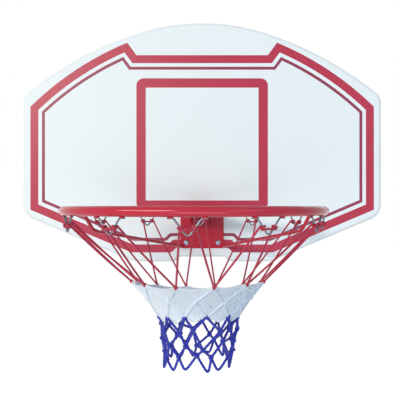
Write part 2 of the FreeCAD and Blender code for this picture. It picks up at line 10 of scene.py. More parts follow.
import bmesh
import bpy
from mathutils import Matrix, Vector


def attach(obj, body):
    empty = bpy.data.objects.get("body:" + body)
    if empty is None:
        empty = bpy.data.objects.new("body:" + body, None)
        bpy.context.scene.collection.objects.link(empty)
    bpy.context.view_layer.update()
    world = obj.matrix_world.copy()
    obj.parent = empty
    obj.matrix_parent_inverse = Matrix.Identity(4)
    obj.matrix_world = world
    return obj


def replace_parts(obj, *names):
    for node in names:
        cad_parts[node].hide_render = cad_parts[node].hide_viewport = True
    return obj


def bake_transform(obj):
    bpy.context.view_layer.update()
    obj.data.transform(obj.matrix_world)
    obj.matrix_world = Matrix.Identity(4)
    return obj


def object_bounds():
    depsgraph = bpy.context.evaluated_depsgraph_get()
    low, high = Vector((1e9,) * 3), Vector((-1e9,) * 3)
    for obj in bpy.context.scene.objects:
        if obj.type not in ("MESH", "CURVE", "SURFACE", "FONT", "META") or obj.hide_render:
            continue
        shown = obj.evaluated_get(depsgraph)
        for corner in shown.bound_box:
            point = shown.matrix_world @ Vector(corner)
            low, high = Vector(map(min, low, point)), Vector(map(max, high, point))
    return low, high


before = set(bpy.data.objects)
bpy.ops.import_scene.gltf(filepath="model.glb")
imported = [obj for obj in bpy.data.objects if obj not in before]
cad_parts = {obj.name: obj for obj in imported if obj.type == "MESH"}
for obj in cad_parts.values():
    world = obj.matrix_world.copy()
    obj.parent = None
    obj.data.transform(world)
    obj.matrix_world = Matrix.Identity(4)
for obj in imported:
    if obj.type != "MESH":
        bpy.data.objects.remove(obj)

LOG = logging.getLogger("backboard")
CAD_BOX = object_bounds()
MM = 0.001
# The Mix node has its sockets' names once for each kind of value: these are the numbers of the colour ones.
MIX_FACTOR, MIX_FIRST, MIX_SECOND, MIX_RESULT = 0, 6, 7, 2


class Body(Enum):
    """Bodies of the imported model."""

    GOAL = "goal"
    NET_UPPER = "net_upper"
    NET_LOWER = "net_lower"


class Slot(Enum):
    """Material slots of the record."""

    COATED_RED_STEEL = "coated_red_steel"
    ZINC_STEEL = "zinc_steel"
    CORD_RED = "cord_red"
    CORD_WHITE = "cord_white"
    CORD_BLUE = "cord_blue"


def linear(colour: str) -> tuple[float, float, float, float]:
    """Turn an sRGB hex colour into linear light.

    Args:
        colour: Colour such as "#C83C50".

    Returns:
        Red, green, blue and an alpha of 1.
    """
    parts = [int(colour[k:k + 2], 16) / 255.0 for k in (1, 3, 5)]
    light = [c / 12.92 if c <= 0.04045 else ((c + 0.055) / 1.055) ** 2.4 for c in parts]
    return light[0], light[1], light[2], 1.0


def add_node(
    tree: bpy.types.NodeTree, kind: str, inputs: dict[int | str, Any] | None = None, **settings: Any
) -> bpy.types.Node:
    """Add a node with its settings and links.

    Args:
        tree: Tree that takes the node.
        kind: Blender's name for the node type.
        inputs: For each input, a value, a socket to link from, or a node whose first output is linked.
        **settings: Properties of the node.

    Returns:
        The new node.
    """
    node = tree.nodes.new(kind)
    for name, value in settings.items():
        setattr(node, name, value)
    for key, value in (inputs or {}).items():
        source = value.outputs[0] if isinstance(value, bpy.types.Node) else value
        if isinstance(source, bpy.types.NodeSocket):
            tree.links.new(source, node.inputs[key])
        else:
            node.inputs[key].default_value = source
    return node


@dataclass(frozen=True)
class Finish:
    """A surface finish that becomes one procedural material."""

    name: str
    colour: str
    shade: str

    def surface(self, tree: bpy.types.NodeTree) -> dict[str, Any]:
        """Give the inputs of the shader.

        Args:
            tree: Node tree of the material.

        Returns:
            Values and links by input name.
        """
        raise NotImplementedError

    def material(self) -> bpy.types.Material:
        """Build the material, once.

        Returns:
            The material.
        """
        known = bpy.data.materials.get(self.name)
        if known:
            return known
        material = bpy.data.materials.new(self.name)
        material.use_nodes = True
        tree = material.node_tree
        tree.nodes.clear()
        shader = add_node(tree, "ShaderNodeBsdfPrincipled", self.surface(tree))
        add_node(tree, "ShaderNodeOutputMaterial", {"Surface": shader})
        return material

    def tint(self, tree: bpy.types.NodeTree, factor: bpy.types.Node) -> bpy.types.NodeSocket:
        """Blend the finish's two colours.

        Args:
            tree: Node tree of the material.
            factor: Node that gives 0 for the colour and 1 for the shade.

        Returns:
            Socket with the blended colour.
        """
        ends = {MIX_FACTOR: factor, MIX_FIRST: linear(self.colour), MIX_SECOND: linear(self.shade)}
        return add_node(tree, "ShaderNodeMix", ends, data_type="RGBA").outputs[MIX_RESULT]


class Relief(Enum):
    """Textures that draw a fine relief, with their settings."""

    PEBBLES = ("ShaderNodeTexVoronoi", {"feature": "SMOOTH_F1"})
    RIPPLES = ("ShaderNodeTexNoise", {})


@dataclass(frozen=True)
class HardFinish(Finish):
    """A hard surface: two tones in soft patches, a gloss that follows them and a fine relief."""

    patch: float
    patch_detail: float
    relief: Relief
    grain: float
    grain_detail: float
    grain_depth: float
    grain_strength: float
    smoothest: float
    dullest: float
    patch_breakup: float = 0.5

    def body(self) -> dict[str, Any]:
        """Give the inputs of the shader that belong to the material under the surface."""
        raise NotImplementedError

    def surface(self, tree: bpy.types.NodeTree) -> dict[str, Any]:
        """Give the inputs of the shader.

        Args:
            tree: Node tree of the material.

        Returns:
            Values and links by input name.
        """
        place = add_node(tree, "ShaderNodeTexCoord").outputs["Object"]
        flow = {"Scale": 1.0 / self.patch, "Detail": self.patch_detail, "Roughness": self.patch_breakup}
        patch = add_node(tree, "ShaderNodeTexNoise", {"Vector": place, **flow})
        kind, settings = self.relief.value
        fine = {"Vector": place, "Scale": 1.0 / self.grain, "Detail": self.grain_detail}
        grain = add_node(tree, kind, fine, **settings)
        bump = {"Height": grain, "Strength": self.grain_strength, "Distance": self.grain_depth}
        gloss = {"Value": patch, "To Min": self.smoothest, "To Max": self.dullest}
        return {
            "Base Color": self.tint(tree, patch),
            "Roughness": add_node(tree, "ShaderNodeMapRange", gloss),
            "Normal": add_node(tree, "ShaderNodeBump", bump),
            **self.body(),
        }


@dataclass(frozen=True)
class MouldedPlastic(HardFinish):
    """Injection-moulded polyethylene: an even white with a soft sheen, broken by a fine pebble grain."""

    patch: float = 260.0 * MM
    patch_detail: float = 2.0
    relief: Relief = Relief.PEBBLES
    grain: float = 1.8 * MM
    grain_detail: float = 0.0
    grain_depth: float = 0.12 * MM
    grain_strength: float = 0.35
    smoothest: float = 0.42
    dullest: float = 0.52
    ior: float = 1.42

    def body(self) -> dict[str, Any]:
        """Give the inputs of a plain plastic."""
        return {"IOR": self.ior}


@dataclass(frozen=True)
class ScreenPrintInk(MouldedPlastic):
    """Screen-printed ink: a flat strong colour over the plastic's grain, uneven where less came through."""

    patch: float = 14.0 * MM
    patch_detail: float = 4.0
    grain_depth: float = 0.08 * MM
    smoothest: float = 0.34
    dullest: float = 0.44
    patch_breakup: float = 0.6
    ior: float = 1.5


@dataclass(frozen=True)
class PowderCoat(HardFinish):
    """Baked powder coat on steel: deep colour with a smooth gloss, rippled by orange peel."""

    patch: float = 45.0 * MM
    patch_detail: float = 3.0
    relief: Relief = Relief.RIPPLES
    grain: float = 1.6 * MM
    grain_detail: float = 1.0
    grain_depth: float = 0.05 * MM
    grain_strength: float = 0.25
    smoothest: float = 0.08
    dullest: float = 0.2
    ior: float = 1.5
    pigment_gloss: float = 0.05
    glaze: float = 0.45
    glaze_roughness: float = 0.13
    glaze_ior: float = 1.6

    def body(self) -> dict[str, Any]:
        """Give the inputs of a dull pigment under a thin glaze.

        Returns:
            Values by input name.
        """
        return {
            "IOR": self.ior,
            "Specular IOR Level": self.pigment_gloss,
            "Coat Weight": self.glaze,
            "Coat Roughness": self.glaze_roughness,
            "Coat IOR": self.glaze_ior,
        }


@dataclass(frozen=True)
class ZincPlate(HardFinish):
    """Zinc on steel: a cool grey metal with cloudy patches and fine tumbling marks."""

    patch: float = 6.0 * MM
    patch_detail: float = 4.0
    relief: Relief = Relief.RIPPLES
    grain: float = 0.7 * MM
    grain_detail: float = 2.0
    grain_depth: float = 0.03 * MM
    grain_strength: float = 0.3
    smoothest: float = 0.24
    dullest: float = 0.4

    def body(self) -> dict[str, Any]:
        """Give the inputs of a metal."""
        return {"Metallic": 1.0}


@dataclass(frozen=True)
class TwistedCord(Finish):
    """Twisted polyester twine: matt yarn, fine fibres along each strand and a faint sheen at its edges."""

    RUN: ClassVar[str] = "cord_run"
    TURN: ClassVar[str] = "cord_turn"
    fibre: float = 0.5 * MM
    fibre_depth: float = 0.2 * MM
    fibre_strength: float = 0.5
    fibre_detail: float = 3.0
    fibre_stretch: float = 0.12
    roughness: float = 0.78
    sheen: float = 0.25
    sheen_roughness: float = 0.5
    soak: float = 0.5
    soak_depth: float = 2.5 * MM

    def surface(self, tree: bpy.types.NodeTree) -> dict[str, Any]:
        """Give the inputs of the shader.

        Args:
            tree: Node tree of the material.

        Returns:
            Values and links by input name.
        """
        run = add_node(tree, "ShaderNodeAttribute", attribute_name=self.RUN).outputs["Fac"]
        turn = add_node(tree, "ShaderNodeAttribute", attribute_name=self.TURN).outputs["Vector"]
        across = add_node(tree, "ShaderNodeSeparateXYZ", {0: turn})
        # Fibres are about a hundredth of a millimetre thick. They are drawn as tufts of half a
        # millimetre, so that they show.
        along = add_node(tree, "ShaderNodeMath", {0: run, 1: self.fibre_stretch}, operation="MULTIPLY")
        lay = {0: across.outputs[0], 1: across.outputs[1], 2: along}
        place = add_node(tree, "ShaderNodeCombineXYZ", lay)
        tufts = {"Vector": place, "Scale": 1.0 / self.fibre, "Detail": self.fibre_detail}
        fibres = add_node(tree, "ShaderNodeTexNoise", tufts)
        bump = {"Height": fibres, "Strength": self.fibre_strength, "Distance": self.fibre_depth}
        return {
            "Base Color": self.tint(tree, fibres),
            "Roughness": self.roughness,
            "Normal": add_node(tree, "ShaderNodeBump", bump),
            "Sheen Weight": self.sheen,
            "Sheen Roughness": self.sheen_roughness,
            "Subsurface Weight": self.soak,
            "Subsurface Radius": (self.soak_depth, self.soak_depth, self.soak_depth),
            "Subsurface Scale": 1.0,
        }


BOARD_WHITE = MouldedPlastic("moulded_polyethylene_white", "#F3F8F5", "#EEF5F4")
INK_CRIMSON = ScreenPrintInk("screen_print_crimson", "#BE2A48", "#B42642")
INK_DARK = ScreenPrintInk("screen_print_dark_crimson", "#98304E", "#8E2A48")
COAT_RED = PowderCoat("powder_coat_crimson", "#CA223C", "#BA1C34")
COAT_BLACK = PowderCoat(
    "powder_coat_black", "#17181A", "#101113", smoothest=0.37, dullest=0.49, glaze_roughness=0.42
)
ZINC = ZincPlate("bright_zinc_plate", "#A2A6B6", "#8C90A2")
GALVANISED = ZincPlate("galvanised_steel_wire", "#7E8088", "#686A72")
CORD_RED = TwistedCord("twisted_polyester_red", "#CC2646", "#A41A36")
CORD_WHITE = TwistedCord("twisted_polyester_white", "#F4FBFF", "#ECF6FE", sheen=0.8, soak=0.0)
# The thick white cords are the netting's white twine in a darker, bluer copy: painted shade, so that they
# show as faint shaded lines on the band.
CORD_WHITE_PAINTED_SHADE = TwistedCord("twisted_polyester_cool_white", "#E6EEF7", "#DAE6F2", soak=0.0)
CORD_BLUE = TwistedCord("twisted_polyester_blue", "#2C36C4", "#1A2086")


def dress(finish: Finish, *nodes: str) -> None:
    """Give CAD nodes a finish.

    Args:
        finish: Finish to use.
        *nodes: Names of the nodes.
    """
    for node in nodes:
        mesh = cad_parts[node].data
        mesh.materials.clear()
        mesh.materials.append(finish.material())
        LOG.info("dressed %s in %s", node, finish.name)


class Socket(Enum):
    """Kinds of named inputs on a Geometry Nodes tree."""

    LENGTH = "NodeSocketFloat"
    COUNT = "NodeSocketInt"
    MATERIAL = "NodeSocketMaterial"
    PATTERN = "NodeSocketObject"


@dataclass
class Pattern:
    """A Geometry Nodes tree that grows a piece from points and lines."""

    name: str
    sizes: dict[str, Socket]

    def __post_init__(self) -> None:
        """Open the tree with its named inputs."""
        self.tree = bpy.data.node_groups.new(self.name, "GeometryNodeTree")
        face = self.tree.interface
        face.new_socket(name="Geometry", in_out="INPUT", socket_type="NodeSocketGeometry")
        for name, kind in {**self.sizes, "Material": Socket.MATERIAL}.items():
            face.new_socket(name=name, in_out="INPUT", socket_type=kind.value)
        face.new_socket(name="Geometry", in_out="OUTPUT", socket_type="NodeSocketGeometry")
        self.inputs = self.add("NodeGroupInput").outputs

    def add(self, kind: str, inputs: dict[int | str, Any] | None = None, **settings: Any) -> bpy.types.Node:
        """Add a node to this tree."""
        return add_node(self.tree, kind, inputs, **settings)

    def close(self, geometry: bpy.types.Node) -> None:
        """End the tree in plain, smooth, dressed faces.

        Args:
            geometry: Node whose first output is the grown geometry.
        """
        real = self.add("GeometryNodeRealizeInstances", {"Geometry": geometry})
        smooth = self.add("GeometryNodeSetShadeSmooth", {"Geometry": real})
        dressed = self.add(
            "GeometryNodeSetMaterial", {"Geometry": smooth, "Material": self.inputs["Material"]}
        )
        self.add("NodeGroupOutput", {"Geometry": dressed})

    def grow(self, name: str, source: bpy.types.Mesh, **values: Any) -> bpy.types.Object:
        """Run the tree on points and lines and keep the result as a plain mesh.

        Args:
            name: Name of the piece.
            source: Points and lines.
            **values: Value of each named input, spaces written as underscores.

        Returns:
            The piece.
        """
        carrier = bpy.data.objects.new(f"{name}_lines", source)
        bpy.context.scene.collection.objects.link(carrier)
        modifier = carrier.modifiers.new(self.name, "NODES")
        modifier.node_group = self.tree
        for item in self.tree.interface.items_tree:
            key = item.name.replace(" ", "_").lower()
            if item.in_out == "INPUT" and key in values:
                modifier[item.identifier] = values[key]
        graph = bpy.context.evaluated_depsgraph_get()
        mesh = bpy.data.meshes.new_from_object(carrier.evaluated_get(graph))
        carrier.modifiers.remove(modifier)
        bpy.data.objects.remove(carrier)
        mesh.name = name
        piece = bpy.data.objects.new(name, mesh)
        bpy.context.scene.collection.objects.link(piece)
        LOG.info("grew %s: %d faces", name, len(mesh.polygons))
        return piece


@dataclass
class Lines:
    """Points and lines that a pattern grows on."""

    KNOT: ClassVar[str] = "knot"
    points: list[Vector] = field(default_factory=list)
    edges: list[tuple[int, int]] = field(default_factory=list)
    knots: set[int] = field(default_factory=set)

    def point(self, place: Vector, knot: bool = False) -> int:
        """Add a point.

        Args:
            place: Place of the point.
            knot: Whether a knot sits on it.

        Returns:
            Number of the point.
        """
        self.points.append(place)
        if knot:
            self.knots.add(len(self.points) - 1)
        return len(self.points) - 1

    def join(self, first: int, places: list[Vector], last: int) -> None:
        """Run a line between two points.

        Args:
            first: Number of the first point.
            places: Places in between.
            last: Number of the last point.
        """
        chain = [first, *(self.point(place) for place in places), last]
        self.edges += list(zip(chain, chain[1:]))

    def path(self, places: list[Vector]) -> None:
        """Run a line of its own through some places."""
        self.join(self.point(places[0]), places[1:-1], self.point(places[-1]))

    def mesh(self, name: str) -> bpy.types.Mesh:
        """Make the mesh of points and edges.

        Args:
            name: Name of the mesh.

        Returns:
            Mesh with a flag on each point that has a knot.
        """
        mesh = bpy.data.meshes.new(name)
        mesh.from_pydata([tuple(p) for p in self.points], self.edges, [])
        flags = mesh.attributes.new(self.KNOT, "BOOLEAN", "POINT")
        flags.data.foreach_set("value", [k in self.knots for k in range(len(self.points))])
        return mesh


@dataclass
class Ring:
    """The ring with its bracket and braces, coated red, its net hooks of bare wire, and the weld beads."""

    centre: Vector = field(default_factory=lambda: Vector((0.0, -388.0 * MM, -38.0 * MM)))
    radius: float = 233.0 * MM
    rod: float = 16.0 * MM
    hooks: int = 12
    hook_wire: float = 3.0 * MM
    hook_half_width: float = 20.0 * MM
    hook_drop: float = 37.0 * MM
    hook_foot: float = 9.0 * MM
    tongue_half_width: float = 28.0 * MM
    tongue: float = 4.0 * MM
    plate_front: float = -36.5 * MM
    gusset_height: float = 34.0 * MM
    bead: float = 2.6 * MM
    bead_sides: int = 8
    bead_tip: float = 0.5
    bead_tip_share: float = 0.12
    ripple: float = 2.2 * MM
    ripple_depth: float = 0.14
    ripple_steps: float = 5.0
    seam_steps: int = 6
    foot_seam_steps: int = 3
    foot_seam_side: float = 0.35
    foot_seam_start: float = 0.5 * MM
    foot_seam_end: float = 1.0 * MM

    def around(self, angle: float, radius: float, drop: float) -> Vector:
        """Find a point round the ring's axis.

        Args:
            angle: Angle from the front towards +X, in radians.
            radius: Distance from the axis.
            drop: Distance below the ring's middle.

        Returns:
            The point.
        """
        return self.centre + Vector((radius * math.sin(angle), -radius * math.cos(angle), -drop))

    def hook_angle(self, hook: float) -> float:
        """Angle of a hook, or of a place between hooks, in radians."""
        return math.tau * hook / self.hooks

    def hook_place(self, hook: int, across: float, outward: float, drop: float) -> Vector:
        """Find a point on a hook.

        Args:
            hook: Number of the hook, 0 at the front.
            across: Distance along the ring from the hook's middle.
            outward: Distance out from the rod's middle line.
            drop: Distance below the ring's middle.

        Returns:
            The point.
        """
        angle = self.hook_angle(hook)
        along = Vector((math.cos(angle), math.sin(angle), 0.0))
        return self.around(angle, self.radius + outward, drop) + along * across

    def bead_pattern(self) -> Pattern:
        """Build the tree of a rippled weld bead.

        Returns:
            Pattern with the bead's width, ripple and ripple depth as inputs.
        """
        kinds = {"Width": Socket.LENGTH, "Ripple": Socket.LENGTH, "Depth": Socket.LENGTH}
        bead = Pattern("weld_bead", kinds)
        size = bead.inputs
        seams = bead.add("GeometryNodeMeshToCurve", {"Mesh": size["Geometry"]})
        step = bead.add("ShaderNodeMath", {0: size["Ripple"], 1: self.ripple_steps}, operation="DIVIDE")
        fine = bead.add("GeometryNodeResampleCurve", {"Curve": seams, "Length": step}, mode="LENGTH")
        where = bead.add("GeometryNodeSplineParameter")
        run = where.outputs["Length"]
        beat = bead.add("ShaderNodeMath", {0: run, 1: size["Ripple"]}, operation="DIVIDE")
        phase = bead.add("ShaderNodeMath", {0: beat, 1: math.tau}, operation="MULTIPLY")
        wave = bead.add("ShaderNodeMath", {0: phase}, operation="SINE")
        swell = bead.add("ShaderNodeMath", {0: wave, 1: size["Depth"], 2: 1.0}, operation="MULTIPLY_ADD")
        nearest_end = bead.add("ShaderNodeMath", {0: where.outputs["Factor"], 1: 0.5}, operation="PINGPONG")
        fade = {"Value": nearest_end, "From Max": self.bead_tip_share, "To Min": self.bead_tip}
        taper = bead.add("ShaderNodeMapRange", fade)
        girth = bead.add("ShaderNodeMath", {0: swell, 1: taper}, operation="MULTIPLY")
        half = bead.add("ShaderNodeMath", {0: size["Width"], 1: 0.5}, operation="MULTIPLY")
        hoop = {"Resolution": self.bead_sides, "Radius": half}
        section = bead.add("GeometryNodeCurvePrimitiveCircle", hoop).outputs["Curve"]
        sweep = {"Curve": fine, "Profile Curve": section, "Scale": girth, "Fill Caps": True}
        bead.close(bead.add("GeometryNodeCurveToMesh", sweep))
        return bead

    def weld_lines(self) -> Lines:
        """Lay out the weld seams.

        Returns:
            Lines along tongue, gussets, hook feet and the back of the ring.
        """
        lines = Lines()
        half = self.tongue_half_width
        spread = math.asin(half / (self.radius + self.rod / 2.0))
        back = self.radius + math.sqrt((self.rod / 2.0) ** 2 - (self.tongue / 2.0) ** 2)
        steps = range(-self.seam_steps, self.seam_steps + 1)
        arc = [math.pi + spread * k / self.seam_steps for k in steps]
        for rise in (-self.tongue / 2.0, self.tongue / 2.0):
            level = self.centre.z + rise
            lines.path([Vector((side * half, self.plate_front, level)) for side in (-1, 0, 1)])
            lines.path([self.around(angle, back, -rise) for angle in arc])
        top = self.centre.z - self.tongue / 2.0
        for side in (-1, 1):
            falls = [self.gusset_height * share for share in (0.0, 0.5, 1.0)]
            lines.path([Vector((side * half, self.plate_front, top - fall)) for fall in falls])
        first = self.hook_half_width + self.foot_seam_start
        last = self.hook_half_width + self.hook_foot - self.foot_seam_end
        shares = [k / self.foot_seam_steps for k in range(self.foot_seam_steps + 1)]
        feet = [first + (last - first) * share for share in shares]
        drop = (self.rod + self.hook_wire / 2.0) / 2.0
        offset = self.foot_seam_side * self.hook_wire
        for hook in range(self.hooks):
            for side in (-1, 1):
                for outward in (-offset, offset):
                    lines.path([self.hook_place(hook, side * foot, outward, drop) for foot in feet])
        return lines

    def build(self) -> None:
        """Dress the steel and lay the weld beads."""
        braces = [f"{name}_{side}" for name in ("bracket_gusset", "brace") for side in ("left", "right")]
        hooks = [f"net_hook_{k + 1:02d}" for k in range(self.hooks)]
        dress(COAT_RED, "ring", "bracket_plate", "bracket_tongue", *braces)
        dress(GALVANISED, *hooks)
        beads = self.bead_pattern().grow(
            "weld_beads",
            self.weld_lines().mesh("weld_seams"),
            width=self.bead,
            ripple=self.ripple,
            depth=self.ripple_depth,
            material=COAT_RED.material(),
        )
        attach(beads, Body.GOAL.value)


@dataclass
class Board:
    """The moulded board with its printed stripes and target."""

    def build(self) -> None:
        """Dress the plastic and the print."""
        dress(BOARD_WHITE, "board_panel")
        dress(INK_CRIMSON, "border_stripe_wide", "target_square")
        dress(INK_DARK, "border_stripe_thin")


@dataclass
class Fasteners:
    """Ring bolts, washers and nuts, and the rear plate with its weld nuts."""

    TO_THE_BACK: ClassVar[tuple[float, float, float]] = (-math.pi / 2.0, 0.0, 0.0)
    spacing: float = 80.0 * MM
    upper: float = -40.0 * MM
    bolt: float = 8.0 * MM
    nut_flats: float = 13.0 * MM
    nut_low: float = 1.6 * MM
    nut_high: float = 8.1 * MM
    nut_crown: float = 0.96
    nut_sink: float = 0.5 * MM
    nut_chamfer_deg: float = 30.0
    nut_steps: int = 48
    bolt_end: float = 12.1 * MM
    thread_pitch: float = 1.25 * MM
    thread_depth: float = 0.45 * MM
    thread_sunk: float = 0.1 * MM
    thread_overlap: float = 0.2 * MM
    thread_steps: int = 28
    thread_sides: int = 4

    def places(self) -> Lines:
        """Mark each bolt's axis at the rear plate's back.

        Returns:
            One point for each bolt.
        """
        lines = Lines()
        for z in (self.upper, self.upper - self.spacing):
            for side in (-1, 1):
                lines.point(Vector((side * self.spacing / 2.0, 0.0, z)))
        return lines

    def nut_mesh(self) -> bpy.types.Mesh:
        """Turn one hex nut with chamfered corners about its bore, standing along +Z.

        Returns:
            Closed mesh.
        """
        steps = self.nut_steps
        flat = self.nut_flats / 2.0
        crown = flat * self.nut_crown
        bore = self.bolt / 2.0
        sink = bore + self.nut_sink
        chamfer = math.tan(math.radians(self.nut_chamfer_deg))
        shape = bmesh.new()
        rings = []
        for k in range(steps):
            turn = math.tau * k / steps
            corner = flat / math.cos((turn + math.pi / 6.0) % (math.pi / 3.0) - math.pi / 6.0)
            fall = (corner - crown) * chamfer
            profile = [
                (bore, self.nut_low + self.nut_sink),
                (sink, self.nut_low),
                (crown, self.nut_low),
                (corner, self.nut_low + fall),
                (corner, self.nut_high - fall),
                (crown, self.nut_high),
                (sink, self.nut_high),
                (bore, self.nut_high - self.nut_sink),
            ]
            spoke = Vector((math.sin(turn), math.cos(turn), 0.0))
            rings.append([shape.verts.new(spoke * r + Vector((0.0, 0.0, z))) for r, z in profile])
        for k in range(steps):
            near, far = rings[k], rings[(k + 1) % steps]
            for j in range(len(near)):
                i = (j + 1) % len(near)
                shape.faces.new((near[j], far[j], far[i], near[i]))
        bmesh.ops.recalc_face_normals(shape, faces=shape.faces)
        mesh = bpy.data.meshes.new("hex_nut")
        shape.to_mesh(mesh)
        shape.free()
        return mesh

    def nut_pattern(self) -> Pattern:
        """Build the tree that sets one nut on each bolt.

        Returns:
            Pattern with the nut as input.
        """
        nuts = Pattern("nut_on_each_bolt", {"Nut": Socket.PATTERN})
        nut = nuts.add("GeometryNodeObjectInfo", {"Object": nuts.inputs["Nut"]})
        upright = nuts.add("FunctionNodeEulerToRotation", {0: self.TO_THE_BACK})
        copies = nuts.add(
            "GeometryNodeInstanceOnPoints",
            {"Points": nuts.inputs["Geometry"], "Instance": nut.outputs["Geometry"], "Rotation": upright},
        )
        nuts.close(copies)
        return nuts

    def thread_pattern(self) -> Pattern:
        """Build the tree that winds a thread round each bolt's end.

        Returns:
            Pattern with the thread's radius, pitch, depth, start and height as inputs.
        """
        sizes = ("Radius", "Pitch", "Depth", "Start", "Height")
        threads = Pattern("thread_on_each_bolt", {size: Socket.LENGTH for size in sizes})
        size = threads.inputs
        turns = threads.add("ShaderNodeMath", {0: size["Height"], 1: size["Pitch"]}, operation="DIVIDE")
        wind = {
            "Resolution": self.thread_steps,
            "Rotations": turns,
            "Start Radius": size["Radius"],
            "End Radius": size["Radius"],
            "Height": size["Height"],
        }
        spiral = threads.add("GeometryNodeCurveSpiral", wind)
        hoop = {"Resolution": self.thread_sides, "Radius": size["Depth"]}
        section = threads.add("GeometryNodeCurvePrimitiveCircle", hoop).outputs["Curve"]
        sweep = {"Curve": spiral, "Profile Curve": section, "Fill Caps": True}
        ridge = threads.add("GeometryNodeCurveToMesh", sweep)
        upright = threads.add("FunctionNodeEulerToRotation", {0: self.TO_THE_BACK})
        shift = threads.add("ShaderNodeCombineXYZ", {1: size["Start"]})
        moved = threads.add("GeometryNodeSetPosition", {"Geometry": size["Geometry"], "Offset": shift})
        copies = threads.add(
            "GeometryNodeInstanceOnPoints", {"Points": moved, "Instance": ridge, "Rotation": upright}
        )
        threads.close(copies)
        return threads

    def build(self) -> None:
        """Dress the steel, cut the nuts and wind the threads."""
        dress(ZINC, "ring_bolts", "bolt_washers", "mount_weld_nuts", "bolt_nuts")
        dress(COAT_BLACK, "rear_plate")
        model = bpy.data.objects.new("hex_nut_model", self.nut_mesh())
        bpy.context.scene.collection.objects.link(model)
        nuts = self.nut_pattern().grow(
            "hex_nuts", self.places().mesh("bolt_axes"), nut=model, material=ZINC.material()
        )
        bpy.data.objects.remove(model)
        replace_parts(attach(nuts, Body.GOAL.value), "bolt_nuts")
        threads = self.thread_pattern().grow(
            "bolt_threads",
            self.places().mesh("bolt_axes"),
            radius=self.bolt / 2.0 - self.thread_sunk,
            pitch=self.thread_pitch,
            depth=self.thread_depth,
            start=self.nut_high - self.thread_overlap,
            height=self.bolt_end - self.nut_high - self.thread_depth,
            material=ZINC.material(),
        )
        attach(threads, Body.GOAL.value)


def sagging(first: Vector, last: Vector, share: float, depth: float) -> Vector:
    """Find a place on a cord that sags between two points.

    Args:
        first: Start of the cord.
        last: End of the cord.
        share: How far along the cord, from 0 to 1.
        depth: Sag in the middle.

    Returns:
        The place.
    """
    return first.lerp(last, share) - Vector((0.0, 0.0, 4.0 * depth * share * (1.0 - share)))


@dataclass(frozen=True)
class Row:
    """One row of knots round the net, raised by lean at the front and by saddle at both sides."""

    radius: float
    drop: float
    lean: float
    saddle: float
    half_step: float
    stray: float


@dataclass(frozen=True)
class Twine:
    """Cord and knot sizes of one band of the net."""

    cord: float
    knot: float
    finish: TwistedCord
    seed: int
    sides: int = 12
    steps: float = 8.0


